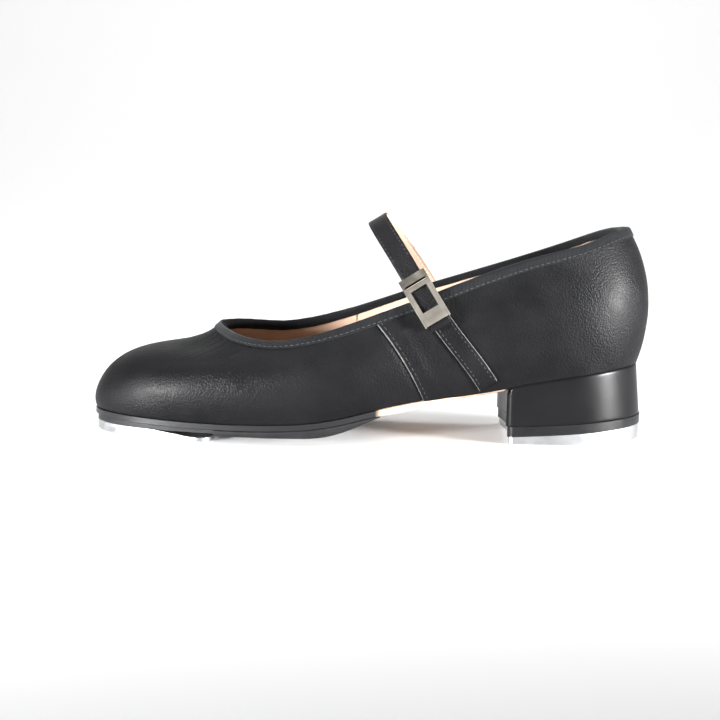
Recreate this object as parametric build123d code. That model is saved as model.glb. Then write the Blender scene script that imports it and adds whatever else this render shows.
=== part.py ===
from build123d import *
import os
from math import asin, cos, degrees, hypot, pi, radians, sin, sqrt

# Left tap shoe, millimetres. Toe at -X, heel at +X, outer side of the foot at -Y,
# inner side at +Y, floor at z = 0.

os.makedirs("parts", exist_ok=True)

# ------------------------------------------------------------------ driving dimensions
OUTER = 1.2            # leather of vamp and quarters
MIDDLE = (-2.2, -1.3)  # stiffeners and interlining, measured inward from the outer face
LINING = (-3.0, -2.3)  # lining leather
WALL = 3.0             # whole thickness of the upper
LAYER_GAP = 0.1
BINDING_WIDTH = 4.2
BINDING_INNER = 2.6      # width of the leg inside the shoe
BINDING = 0.5

SOLE = 2.8             # leather sole at the forepart edge
WAIST_SOLE = 2.2       # leather sole at the waist and under the heel
BOARD = 2.2            # fibre board above the toe tap
TOE_TAP = 3.9
TAP_TONGUE = 1.6        # toe tap at its thin rear end
HALF_SOLE_UNDER = 2.3   # height of the tread over the floor
HALF_SOLE = 3.9
TAP_END_X = -70.4      # rear end of the toe tap
HALF_SOLE_END_X = 3.0

HEEL_FRONT_X = 60.0
HEEL_TAP_FRONT = 2.9
HEEL_TAP_BACK = 6.4
LIFT_FRONT = 7.5         # heel lift, upper face at the breast and at the back
LIFT_BACK = 10.6
HEEL_BACK_FLARE = 2.4
COVER = 0.9

STRAP_TILT = 32.1      # rise of the strap's width direction over the floor, degrees
STRAP_WIDTH = 9.2
STRAP = 1.8
STRAP_W = 53.4         # strap middle measured along its width direction
ROOT_W = 56.0
ROOT_T = 31.4          # pivot height measured up the strap plane
APEX_T = 82.3

BUCKLE_WIDTH = 12.6
BUCKLE_TOP = 161.4     # angles round the strap pivot
BUCKLE_BOTTOM = 179.2
FLOOR = 0.6
LEVER = 1.4
RAIL = 0.8
PIN_ANGLE = 165.0
PIN_RADIUS = 0.45
FIT = 0.06

# Stations round the shoe: feather x, y; topline x, y, z; swell of the wall at a quarter,
# half and three quarters of its height; toe share (0 side wall, 1 toe cap).
STATIONS = [
    (121.2, 0.0, 115.0, 0.0, 95.1, 5.4, 7.3, 5.6, 0.0),
    (112.8, -16.4, 108.0, -14.6, 94.0, 4.5, 6.0, 4.2, 0.0),
    (95.0, -26.8, 92.5, -24.8, 88.6, 3.2, 4.2, 2.6, 0.0),
    (72.0, -28.9, 71.0, -29.8, 82.8, 2.8, 3.4, 1.8, 0.0),
    (48.0, -28.0, 47.0, -32.4, 74.6, 3.0, 3.2, 1.6, 0.0),
    (22.0, -28.9, 23.0, -34.4, 65.3, 4.2, 4.0, 2.0, 0.0),
    (-2.0, -34.4, 0.0, -35.2, 56.8, 4.4, 5.0, 3.0, 0.0),
    (-27.0, -40.0, -22.0, -34.2, 48.8, 4.0, 5.8, 4.2, 0.1),
    (-54.0, -39.4, -42.0, -29.8, 44.3, 4.8, 7.4, 5.2, 0.35),
    (-82.5, -33.8, -56.5, -22.4, 44.9, 6.9, 9.6, 5.6, 0.65),
    (-105.0, -25.8, -63.8, -13.0, 46.4, 8.9, 11.3, 5.0, 0.88),
    (-120.6, -13.2, -67.8, -5.6, 48.0, 10.0, 12.0, 4.8, 1.0),
    (-126.3, 0.6, -69.0, 1.0, 49.1, 10.1, 12.0, 4.7, 1.0),
    (-121.0, 14.0, -67.4, 7.6, 48.9, 10.0, 12.0, 4.8, 1.0),
    (-106.0, 26.4, -62.6, 15.2, 48.3, 8.9, 11.3, 5.0, 0.88),
    (-83.5, 34.6, -54.5, 22.4, 47.3, 6.9, 9.6, 5.6, 0.65),
    (-57.0, 38.8, -41.0, 28.0, 46.3, 4.6, 7.0, 5.0, 0.35),
    (-31.0, 37.4, -24.0, 31.2, 48.8, 3.6, 5.2, 4.0, 0.1),
    (-6.0, 30.4, -3.0, 32.4, 54.7, 3.4, 4.2, 2.6, 0.0),
    (19.0, 24.6, 19.0, 32.0, 62.0, 3.2, 3.6, 1.8, 0.0),
    (43.0, 23.4, 43.0, 31.0, 69.8, 2.6, 3.0, 1.6, 0.0),
    (68.0, 26.2, 68.0, 29.2, 78.1, 2.6, 3.2, 1.8, 0.0),
    (94.0, 26.0, 91.5, 25.0, 86.6, 3.2, 4.2, 2.6, 0.0),
    (112.8, 16.0, 108.0, 14.4, 93.4, 4.5, 6.0, 4.2, 0.0),
]
N = len(STATIONS)

# height of the upper face of the leather sole along the shoe
SEAT = [(-150, 9.7), (-126, 9.4), (-104, 9.1), (-82, 8.5), (-58, 8.5), (-38, 9.1), (-26, 9.9),
        (-13, 11.8), (2, 15.0), (22, 18.6), (41, 21.1), (56, 23.9), (72, 27.6), (95, 31.3),
        (112, 33.3), (125, 34.4), (150, 36.0)]


# ------------------------------------------------------------------ small vector helpers
def add(a, b, k=1.0):
    return tuple(p + k * q for p, q in zip(a, b))


def cross(a, b):
    return (a[1] * b[2] - a[2] * b[1], a[2] * b[0] - a[0] * b[2], a[0] * b[1] - a[1] * b[0])


def unit(a):
    size = sqrt(sum(p * p for p in a))
    return tuple(p / size for p in a)


def mix(a, b, k):
    return a + (b - a) * k


def smooth(k):
    k = min(1.0, max(0.0, k))
    return k * k * (3 - 2 * k)


# ------------------------------------------------------------------ guide curves
def closed_spline(points):
    """Closed uniform cubic B-spline that passes through the points."""
    n = len(points)
    ctrl = list(points)
    for _ in range(30):
        ctrl = [add(ctrl[i], [p - (a + 4 * b + c) / 6 for p, a, b, c in
                              zip(points[i], ctrl[i - 1], ctrl[i], ctrl[(i + 1) % n])])
                for i in range(n)]

    def curve(u):
        u %= n
        i = int(u)
        f = u - i
        weights = ((1 - f) ** 3 / 6, (3 * f ** 3 - 6 * f * f + 4) / 6,
                   (-3 * f ** 3 + 3 * f * f + 3 * f + 1) / 6, f ** 3 / 6)
        total = (0.0,) * len(points[0])
        for k, weight in enumerate(weights):
            total = add(total, ctrl[(i + k - 1) % n], weight)
        return total
    return curve


def seat(x):
    """Height of the sole's upper face, a cubic through the SEAT heights."""
    i = max(k for k in range(1, len(SEAT) - 2) if SEAT[k][0] <= x or k == 1)
    (x0, z0), (x1, z1), (x2, z2), (x3, z3) = SEAT[i - 1:i + 3]
    f = (x - x1) / (x2 - x1)
    m1 = (z2 - z0) / (x2 - x0) * (x2 - x1)
    m2 = (z3 - z1) / (x3 - x1) * (x2 - x1)
    return ((2 * f ** 3 - 3 * f * f + 1) * z1 + (f ** 3 - 2 * f * f + f) * m1
            + (3 * f * f - 2 * f ** 3) * z2 + (f ** 3 - f * f) * m2)


feather_plan = closed_spline([row[:2] for row in STATIONS])


def plan_normal(u):
    """Outward direction of the feather line seen from above."""
    a, b = feather_plan(u - 0.02), feather_plan(u + 0.02)
    dx, dy = b[0] - a[0], b[1] - a[1]
    size = hypot(dx, dy)
    return -dy / size, dx / size


def guides():
    """Five closed curves up the wall: feather, three swell lines and the topline."""
    rows = [[], [], [], [], []]
    for i, (fx, fy, tx, ty, tz, b1, b2, b3, toe) in enumerate(STATIONS):
        foot, top = (fx, fy, seat(fx) + LAYER_GAP), (tx, ty, tz)
        nx, ny = plan_normal(i)
        rise = radians(mix(6, 55.4, toe))
        out = (nx * cos(rise), ny * cos(rise), sin(rise))
        shares = (mix(0.25, 0.14, toe), mix(0.5, 0.395, toe), mix(0.75, 0.665, toe))
        rows[0].append(foot)
        for k, (share, swell) in enumerate(zip(shares, (b1, b2, b3))):
            rows[k + 1].append(add(tuple(mix(p, q, share) for p, q in zip(foot, top)), out, swell))
        rows[4].append(top)
    return [closed_spline(row) for row in rows]


GUIDES = guides()


def wall_point(u, v):
    """Outer face of the upper; u runs round the shoe, v from feather to topline."""
    knots = (0.0, 0.25, 0.5, 0.75, 1.0)
    total = (0.0, 0.0, 0.0)
    for i, guide in enumerate(GUIDES):
        weight = 1.0
        for j, knot in enumerate(knots):
            if j != i:
                weight *= (v - knot) / (knots[i] - knot)
        point = guide(u)
        if i == 0:
            point = (point[0], point[1], seat(point[0]) + LAYER_GAP)
        total = add(total, point, weight)
    return total


def wall(u, v, off=0.0):
    """Point at a distance outside (+) or inside (-) the outer face of the upper."""
    point = wall_point(u, v)
    if off == 0.0:
        return point
    along = add(wall_point(u + 0.02, v), wall_point(u - 0.02, v), -1)
    up = add(wall_point(u, v + 0.01), wall_point(u, v - 0.01), -1)
    return add(point, unit(cross(along, up)), -off)


def on_wall(x, z, u, v):
    """Wall parameters of the place seen at x, z on one side, starting from a guess."""
    for _ in range(12):
        p = wall_point(u, v)
        pu, pv = wall_point(u + 0.01, v), wall_point(u, v + 0.01)
        a, b = (pu[0] - p[0]) * 100, (pv[0] - p[0]) * 100
        c, d = (pu[2] - p[2]) * 100, (pv[2] - p[2]) * 100
        det = a * d - b * c
        ex, ez = x - p[0], z - p[2]
        u += (ex * d - b * ez) / det
        v += (a * ez - c * ex) / det
    return u, v


# ------------------------------------------------------------------ closed solids from grids
def closed(faces):
    """Solid enclosed by faces that share their edges."""
    return Solid(Shell(Face.sew_faces(faces)[0])).fix()


def slab(place, low, high, na=24, nb=10):
    """Solid between two offsets of a surface; place(a, b, offset) gives its points."""
    skins = [Face.make_surface_from_array_of_points(
        [[place(i / na, j / nb, off) for j in range(nb + 1)] for i in range(na + 1)],
        tol=0.005, min_deg=3, max_deg=6) for off in (low, high)]
    sides = []
    for edge in skins[0].edges():
        twin = min(skins[1].edges(), key=lambda e: (e.position_at(0.5) - edge.position_at(0.5)).length)
        sides.append(Face.make_surface_from_curves(edge, twin))
    return closed(skins + sides)


def wall_panel(u_start, u_end, v_start, v_end, low, high, na=40, nb=12):
    """Layer of the upper between two seam lines; u limits and v limits may vary."""
    def place(a, b, off):
        v = mix(v_start, v_end, b)
        u = mix(u_start(v), u_end(v), a)
        return wall(u, v, off)
    return slab(place, low, high, na, nb)


def band(low, high, x0=-140.0, x1=140.0, half=58.0, steps=32):
    """Layer between two heights that vary along the shoe only."""
    xs = [mix(x0, x1, i / steps) for i in range(steps + 1)]
    under = Edge.make_spline([(x, 0, low(x)) for x in xs])
    over = Edge.make_spline([(x, 0, high(x)) for x in xs])
    ends = [Edge.make_line(under @ 1, over @ 1), Edge.make_line(over @ 0, under @ 0)]
    face = Face(Wire([under, ends[0], over, ends[1]]))
    return extrude(Pos(0, -half, 0) * face, 2 * half, dir=(0, 1, 0))


# ------------------------------------------------------------------ sole outlines
def outline(inset, count=40):
    """Closed plan outline a distance inside the feather line."""
    points = []
    for k in range(count):
        u = k * N / count
        x, y = feather_plan(u)
        nx, ny = plan_normal(u)
        d = inset(x) if callable(inset) else inset
        points.append((x - nx * d, y - ny * d))
    return Face(Wire([Edge.make_spline(points, periodic=True)]))


def column(face, x0=-200.0, x1=200.0, z0=-10.0, z1=70.0):
    """Outline extruded upright, kept between two stations along the shoe."""
    tall = extrude(Pos(0, 0, z0) * face, z1 - z0, dir=(0, 0, 1))
    return tall & Pos((x0 + x1) / 2, 0, 30) * Box(x1 - x0, 200, 200)


def sole_under(x):
    """Lower face of the leather sole, thinned at the bevelled waist."""
    return seat(x) - mix(SOLE, WAIST_SOLE, smooth((x - 2) / 36))


def waist_inset(x):
    return -0.5 + 2.3 * smooth((x - 10) / 25) * smooth((68 - x) / 10) + 1.9 * smooth((x - 58) / 6)


# ------------------------------------------------------------------ upper
def seam_lateral(v):
    return 4.95 + 1.08 * v - 0.10 * v * (1 - v)


def seam_medial(v):
    return N - 4.95 - 0.98 * v


def make_upper():
    gap = 0.012
    low, high = -OUTER, 0.0
    parts = {}
    parts["vamp"] = wall_panel(lambda v: seam_lateral(v) + gap / 2, lambda v: seam_medial(v) - gap / 2,
                               0.0, 1.0, low, high, 110, 14)
    parts["quarter_lateral"] = wall_panel(lambda v: 0.006, lambda v: seam_lateral(v) - gap / 2,
                                          0.0, 1.0, low, high, 48, 14)
    parts["quarter_medial"] = wall_panel(lambda v: seam_medial(v) + gap / 2, lambda v: N - 0.006,
                                         0.0, 1.0, low, high, 48, 14)
    return parts


def make_lining():
    low, high = LINING
    side = {"vamp_lining": (6.2, N - 6.2), "quarter_lining_lateral": (0.01, 6.18),
            "quarter_lining_medial": (N - 6.18, N - 0.01)}
    return {name: wall_panel(lambda v, a=a: a, lambda v, b=b: b, 0.03, 1.0, low, high, 80, 12)
            for name, (a, b) in side.items()}


def make_stiffeners():
    low, high = MIDDLE
    side = {"toe_puff": (9.0, 15.0, 0.62), "interlining_lateral": (3.32, 8.96, 0.97),
            "interlining_medial": (15.04, N - 3.32, 0.97)}
    parts = {name: wall_panel(lambda v, a=a: a, lambda v, b=b: b, 0.03, top, low, high, 60, 12)
             for name, (a, b, top) in side.items()}
    parts["heel_counter"] = wall_panel(lambda v: -3.28, lambda v: 3.28, 0.03, 0.62, low, high, 60, 10)
    return parts


def wall_reach(u):
    """Length of one unit of v at the topline."""
    return sqrt(sum(p * p for p in add(wall_point(u, 1.0), wall_point(u, 0.99), -1))) * 100


def make_binding():
    """Fabric strip folded over the topline: outer leg, bridge and inner leg."""
    low, high = LAYER_GAP, LAYER_GAP + BINDING
    ring = [(-BINDING_WIDTH, high), (0.65, high), (0.65, -WALL - high), (-BINDING_INNER, -WALL - high),
            (-BINDING_INNER, -WALL - low), (0.15, -WALL - low), (0.15, low), (-BINDING_WIDTH, low)]
    steps = 96
    us = [mix(0.01, N - 0.01, k / steps) for k in range(steps + 1)]
    rails = [Edge.make_spline([wall(u, 1 + rise / wall_reach(u), off) for u in us]) for rise, off in ring]
    faces = [Face.make_surface_from_curves(rails[k - 1], rails[k]) for k in range(8)]
    for end in (0, 1):
        c = [rail @ end for rail in rails]
        for a, b, p, q in ((0, 1, 7, 6), (1, 2, 6, 5), (2, 3, 5, 4)):
            faces.append(Face.make_surface_from_curves(Edge.make_line(c[a], c[b]), Edge.make_line(c[p], c[q])))
    return closed(faces)


# ------------------------------------------------------------------ bottom
def make_bottom():
    def rise(k):
        return lambda x: seat(x) + k
    parts = {}
    parts["leather_sole"] = column(outline(waist_inset)) & band(sole_under, rise(0.0))
    ring = column(outline(3.5), -122, 118) - column(outline(11.0))
    parts["lasting_margin"] = ring & band(rise(0.1), rise(1.3))
    parts["cork_filler"] = column(outline(11.4), -112, 6) & band(rise(0.1), rise(1.3))
    shank = Pos(42, -1.0, 20) * extrude(RectangleRounded(68, 10, 4.9), 60, both=True)
    parts["steel_shank"] = shank & band(rise(0.1), rise(1.3))
    parts["insole_board"] = column(outline(3.5)) & band(rise(1.4), rise(3.2))
    parts["sock_liner"] = column(outline(3.7)) & band(rise(3.3), rise(4.5))
    half = column(outline(-0.3), -69.0, HALF_SOLE_END_X)
    parts["forepart_sole"] = half & band(half_sole_under, lambda x: sole_under(x) - 0.05)
    board = column(outline(0.5), -150, -69.4)
    parts["toe_resonator_board"] = board & band(lambda x: TOE_TAP + 0.05, lambda x: sole_under(x) - 0.05)
    tap = column(outline(0.4), -150, TAP_END_X, 0.0, TOE_TAP)
    corners = [e for e in tap.edges() if e.length < TOE_TAP + 0.1 and e.center().X > TAP_END_X - 0.1]
    parts["toe_tap"] = fillet(corners, 6.0) & band(lambda x: -1.0, tap_top)
    return parts


def tap_top(x):
    """Upper face of the toe tap: it drops away from the board towards its rear tongue."""
    return mix(TOE_TAP, TAP_TONGUE, smooth((x + 101) / 26))


def half_sole_under(x):
    """Tread of the half sole, feathering out under the waist."""
    return mix(HALF_SOLE_UNDER, sole_under(x) - 0.9, smooth((x + 30) / 36))


# ------------------------------------------------------------------ heel
def heel_outline(inset, flare):
    """D-shaped plan of the heel; flare moves the back outward."""
    points = []
    steps = 18
    for k in range(steps + 1):
        u = mix(-3.28, 3.5, k / steps)
        x, y = feather_plan(u)
        nx, ny = plan_normal(u)
        x, y = x - nx * inset, y - ny * inset
        points.append((x + flare * smooth((x - 60) / 62), y))
    front = HEEL_FRONT_X + inset
    a, b = points[0], points[-1]
    points[0], points[-1] = (front, a[1]), (front, b[1])
    back = Spline(points)
    breast = ThreePointArc(points[-1], (front + 3.0, (a[1] + b[1]) / 2), points[0])
    face = Face(Wire([back.edge(), breast.edge()]))
    return fillet(face.vertices(), 3.0 - inset).face()


def heel_column(inset, z0, z1):
    """Heel outline swept up with the back drawn in towards the top."""
    faces = []
    for z in (z0, z1):
        flare = HEEL_BACK_FLARE * (1 - (z - 8.4) / 26.0) - 0.1
        faces.append(Pos(0, 0, z) * heel_outline(inset, flare))
    return Solid.make_loft([face.outer_wire() for face in faces], True)


def countersunk(x, y, z_head, head, shank, length, grow=0.0):
    """Screw pointing up from the floor side."""
    body = Pos(x, y, z_head) * Cylinder(shank + grow, length, align=(Align.CENTER, Align.CENTER, Align.MIN))
    cone = Pos(x, y, z_head) * Cone(head + grow, shank + grow, 1.8, align=(Align.CENTER, Align.CENTER, Align.MIN))
    return body + cone


HEEL_SCREWS = [(73.0, -15.0), (73.0, 13.5), (111.0, -0.5)]
TOE_SCREWS = [(-84.0, -19.0), (-84.0, 19.0), (-113.0, 0.5)]
NAILS = [(78.0, -14.0), (78.0, 12.5), (98.0, -12.5), (98.0, 11.0), (106.0, -0.5)]


def tap_line(x):
    """Upper face of the heel tap."""
    return mix(HEEL_TAP_FRONT, HEEL_TAP_BACK, max(-0.1, (x - HEEL_FRONT_X) / 62.0))


def lift_line(x):
    """Upper face of the heel lift."""
    return mix(LIFT_FRONT, LIFT_BACK, max(-0.1, (x - HEEL_FRONT_X) / 62.0))


def make_heel(parts):
    def under_sole(x):
        return sole_under(x) - 0.1
    full = heel_column(0.0, 5.0, 42.0)
    core = heel_column(COVER, 5.0, 42.0)
    core_hole = heel_column(COVER - 0.05, 4.5, 42.5)
    sole_room = column(outline(lambda x: waist_inset(x) - 0.1))
    sole_room &= band(lambda x: sole_under(x) - 0.1, lambda x: seat(x) + 5)
    parts["heel_cover"] = ((full - core_hole) & band(lambda x: lift_line(x) + 0.05, lambda x: seat(x) - 0.05)) - sole_room
    block = core & band(lambda x: lift_line(x) + 0.05, under_sole)
    low = extrude(heel_outline(0.0, HEEL_BACK_FLARE), 20, both=True)
    lift = low & band(lambda x: tap_line(x) + 0.05, lift_line)
    tap = extrude(heel_outline(0.3, HEEL_BACK_FLARE), 20, both=True)
    tap &= band(lambda x: 0.0, lambda x: tap_line(x))
    tap &= Pos(HEEL_FRONT_X + 1.5 + 50, 0, 5) * Box(100, 90, 20)
    sole = parts["leather_sole"]
    screws, nails = [], []
    for x, y in HEEL_SCREWS:
        screws.append(countersunk(x, y, 0.5, 3.2, 1.5, 14))
        hole = countersunk(x, y, 0.5, 3.2, 1.5, 14.3, FIT)
        mouth = Pos(x, y, 0.25) * Cylinder(3.2 + FIT, 0.6)
        tap, lift, block = tap - hole - mouth, lift - hole, block - hole
    for x, y in NAILS:
        top = seat(x) - 0.05
        nails.append(Pos(x, y, top - 9) * Cylinder(1.0, 18))
        hole = Pos(x, y, top - 9) * Cylinder(1.0 + FIT, 18.4)
        block, sole = block - hole, sole - hole
    parts["heel_block"], parts["heel_lift"], parts["heel_tap"] = block, lift, tap
    parts["heel_tap_screws"] = Compound(children=screws)
    parts["heel_nails"] = Compound(children=nails)
    toe = []
    for x, y in TOE_SCREWS:
        toe.append(countersunk(x, y, 0.5, 3.2, 1.5, 7.0))
        hole = countersunk(x, y, 0.5, 3.2, 1.5, 7.3, FIT)
        mouth = Pos(x, y, 0.25) * Cylinder(3.2 + FIT, 0.6)
        parts["toe_tap"] = parts["toe_tap"] - hole - mouth
        parts["toe_resonator_board"] = parts["toe_resonator_board"] - hole
        sole = sole - hole
    parts["leather_sole"] = sole
    parts["toe_tap_screws"] = Compound(children=toe)


# ------------------------------------------------------------------ strap and buckle
W_DIR = (cos(radians(STRAP_TILT)), 0.0, sin(radians(STRAP_TILT)))
T_DIR = (-sin(radians(STRAP_TILT)), 0.0, cos(radians(STRAP_TILT)))
STRAP_PLANE = Plane(origin=(0, 0, 0), x_dir=(0, 1, 0), z_dir=W_DIR)


def strap_frame(y, t, w):
    """World point from across, up and width coordinates of the strap plane."""
    return (T_DIR[0] * t + W_DIR[0] * w, y, T_DIR[2] * t + W_DIR[2] * w)


def wall_y(t, w, guess):
    x, _, z = strap_frame(0, t, w)
    return wall_point(*on_wall(x, z, *guess))[1]


LATERAL_GUESS = (4.6, 0.75)
MEDIAL_GUESS = (N - 4.6, 0.75)
PIVOT = (wall_y(ROOT_T, ROOT_W, MEDIAL_GUESS) + 3.4, ROOT_T)
TAB = 1.4
R_FLOOR = PIVOT[0] - (wall_y(ROOT_T - 1.5, STRAP_W, LATERAL_GUESS) - LAYER_GAP - TAB - 0.7)
R_STRAP = R_FLOOR + FLOOR + 0.1
R_LEVER = R_STRAP + STRAP + 0.1
R_TOP = R_LEVER + LEVER


def polar(radius, angle):
    return PIVOT[0] + radius * cos(radians(angle)), PIVOT[1] + radius * sin(radians(angle))


def arc_block(r0, r1, a0, a1, w0, w1):
    """Block curved round the strap pivot, spanning w0 to w1 of the strap's width direction."""
    mid = (a0 + a1) / 2
    face = make_face([
        ThreePointArc(polar(r1, a0), polar(r1, mid), polar(r1, a1)).edge(),
        Line(polar(r1, a1), polar(r0, a1)).edge(),
        ThreePointArc(polar(r0, a1), polar(r0, mid), polar(r0, a0)).edge(),
        Line(polar(r0, a0), polar(r1, a0)).edge()])
    return extrude(Pos(0, 0, STRAP_W + w0) * face, w1 - w0, dir=(0, 0, 1))


def bezier(p0, p1, p2, p3, k):
    return tuple((1 - k) ** 3 * a + 3 * k * (1 - k) ** 2 * b + 3 * k * k * (1 - k) * c + k ** 3 * d
                 for a, b, c, d in zip(p0, p1, p2, p3))


def strap_path(s):
    """Middle line of the strap in its plane: 0 at the free end, 1 at the pivot."""
    radius = R_STRAP + STRAP / 2
    leave = 156.0
    if s <= 0.25:
        return polar(radius, mix(181.6, leave, s / 0.25))
    start = polar(radius, leave)
    rise = (sin(radians(leave)), -cos(radians(leave)))
    apex = (-1.0, APEX_T - STRAP / 2)
    if s <= 0.6:
        return bezier(start, (start[0] + 10 * rise[0], start[1] + 10 * rise[1]),
                      (apex[0] - 17, apex[1]), apex, (s - 0.25) / 0.35)
    return bezier(apex, (apex[0] + 19, apex[1]), (PIVOT[0] + 0.9, PIVOT[1] + 24), PIVOT, (s - 0.6) / 0.4)


def strap_surface(width, s0=0.0, s1=1.0):
    def place(a, b, off):
        s = mix(s0, s1, a)
        y, t = strap_path(s)
        before, after = strap_path(max(0.0, s - 0.002)), strap_path(min(1.0, s + 0.002))
        dy, dt = after[0] - before[0], after[1] - before[1]
        size = hypot(dy, dt)
        middle = STRAP_W - 0.6 * smooth((s - 0.25) / 0.3) + (ROOT_W - STRAP_W + 0.6) * smooth((s - 0.55) / 0.4)
        w = middle + (b - 0.5) * width
        return strap_frame(y - dt / size * off, t + dy / size * off, w)
    return place


def make_strap():
    face = slab(strap_surface(STRAP_WIDTH, 0.0, 0.985), 0.02, STRAP / 2, 90, 3)
    back = slab(strap_surface(STRAP_WIDTH, 0.0, 0.985), -STRAP / 2, -0.03, 90, 3)
    return face, back


def make_buckle():
    half = BUCKLE_WIDTH / 2
    base = arc_block(R_FLOOR, R_FLOOR + FLOOR, BUCKLE_TOP + 1.2, BUCKLE_BOTTOM - 0.6, -half, half)
    for side in (-1, 1):
        w0, w1 = sorted((side * half, side * (half - RAIL)))
        base += arc_block(R_FLOOR, R_TOP - 0.1, BUCKLE_TOP, BUCKLE_BOTTOM, w0, w1)
    base += arc_block(R_LEVER - 0.05, R_TOP + 0.1, BUCKLE_TOP, BUCKLE_TOP + 2.6, -half, half)
    py, pt = polar(R_LEVER + LEVER / 2, PIN_ANGLE)
    pin = Pos(py, pt, STRAP_W) * Cylinder(PIN_RADIUS, BUCKLE_WIDTH)
    pin_hole = Pos(py, pt, STRAP_W) * Cylinder(PIN_RADIUS + FIT, BUCKLE_WIDTH + 1)
    inner = half - RAIL - 0.12
    window = (PIN_ANGLE + 1.4, 174.4)
    lever = arc_block(R_LEVER, R_TOP, PIN_ANGLE, BUCKLE_BOTTOM - 0.2, -inner, inner)
    lever += Pos(py, pt, STRAP_W) * Cylinder(LEVER / 2, 2 * inner)
    lever -= arc_block(R_LEVER - 1, R_TOP + 1, *window, -inner + 1.5, inner - 1.5)
    for k in range(3):
        angle = 175.5 + 1.05 * k
        lever -= arc_block(R_TOP - 0.25, R_TOP + 1, angle, angle + 0.5, -inner + 1.4, inner - 1.4)
    rivets = []
    tools = []
    for side in (-1, 1):
        angle, w = 176.9, STRAP_W + 1.2 + side * 2.6
        inner_end = polar(R_FLOOR - TAB + 0.15, angle)
        spin = Location((inner_end[0], inner_end[1], w), (0, -90, 0))
        length = TAB + FLOOR - 0.2
        rivets.append(spin * Cylinder(1.0, length, align=(Align.CENTER, Align.CENTER, Align.MIN)))
        tools.append(spin * Pos(0, 0, -0.1) * Cylinder(1.0 + FIT, length + 2,
                                                        align=(Align.CENTER, Align.CENTER, Align.MIN)))
    base = base - pin_hole - tools[0] - tools[1]
    lever = lever - pin_hole
    place = STRAP_PLANE.location
    return {"buckle_base": place * base, "buckle_lever": place * lever, "buckle_pin": place * pin,
            "buckle_rivets": place * Compound(children=rivets)}, [place * tool for tool in tools]


def side_tab(bottom, top, w_bottom, w_top, width, guess, low, high, nb=14):
    """Leather strip lying on the outside of a quarter."""
    def place(a, b, off):
        t = mix(bottom, top, b)
        w = mix(w_bottom, w_top, smooth(b)) + (a - 0.5) * width
        x, _, z = strap_frame(0, t, w)
        return wall(*on_wall(x, z, *guess), off)
    return slab(place, low, high, 6, nb)


def make_tabs(tools):
    tab = side_tab(-4.6, ROOT_T + 7.2, STRAP_W + 4.2, STRAP_W + 0.7, 9.0, (4.3, 0.5), LAYER_GAP, LAYER_GAP + TAB)
    tab -= STRAP_PLANE.location * arc_block(R_FLOOR - 0.08, R_FLOOR + 6, 150, 195, -15, 15)
    for tool in tools:
        tab -= tool
    root = side_tab(ROOT_T - 16, ROOT_T - 0.4, ROOT_W, ROOT_W, STRAP_WIDTH, (N - 4.6, 0.6),
                    LAYER_GAP, 2.6)
    clear = STRAP_PLANE.location * (Pos(PIVOT[0], PIVOT[1], ROOT_W) * Cylinder(STRAP / 2 + 0.35, 30))
    return {"buckle_tab": tab, "strap_root_tab": root - clear}


# ------------------------------------------------------------------ assemble and export
def build():
    parts = {}
    parts.update(make_upper())
    parts.update(make_lining())
    parts.update(make_stiffeners())
    parts["topline_binding"] = make_binding()
    parts.update(make_bottom())
    make_heel(parts)
    parts["strap_leather"], parts["strap_lining"] = make_strap()
    metal, tools = make_buckle()
    parts.update(metal)
    parts.update(make_tabs(tools))
    return parts


def main():
    for name, shape in sorted(build().items()):
        box = shape.bounding_box()
        export_step(shape, f"parts/{name}.step")
        print(name, round(shape.volume, 1), [round(c, 1) for c in (*box.min, *box.max)], shape.is_valid)


main()
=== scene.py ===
import bmesh
import bpy
import numpy as np
from math import cos, pi, radians, sin
from mathutils import Matrix, Vector


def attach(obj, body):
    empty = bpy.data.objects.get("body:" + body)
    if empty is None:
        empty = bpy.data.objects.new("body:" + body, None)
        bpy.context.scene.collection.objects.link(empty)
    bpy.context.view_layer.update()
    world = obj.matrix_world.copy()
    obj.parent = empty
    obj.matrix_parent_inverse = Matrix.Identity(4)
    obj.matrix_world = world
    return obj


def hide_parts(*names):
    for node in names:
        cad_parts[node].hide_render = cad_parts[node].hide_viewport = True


# Looks of the left tap shoe. Shapes are worked out in millimetres in the row frame
# (toe -X, heel +X, outer side -Y) and written to the meshes in metres.

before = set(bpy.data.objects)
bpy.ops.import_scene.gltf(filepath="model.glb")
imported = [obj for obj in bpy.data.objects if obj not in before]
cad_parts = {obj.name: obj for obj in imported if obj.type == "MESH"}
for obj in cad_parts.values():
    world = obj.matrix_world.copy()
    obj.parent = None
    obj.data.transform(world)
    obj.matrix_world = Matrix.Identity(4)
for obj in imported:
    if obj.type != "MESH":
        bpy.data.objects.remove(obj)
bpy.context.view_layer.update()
MM = 0.001

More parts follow.
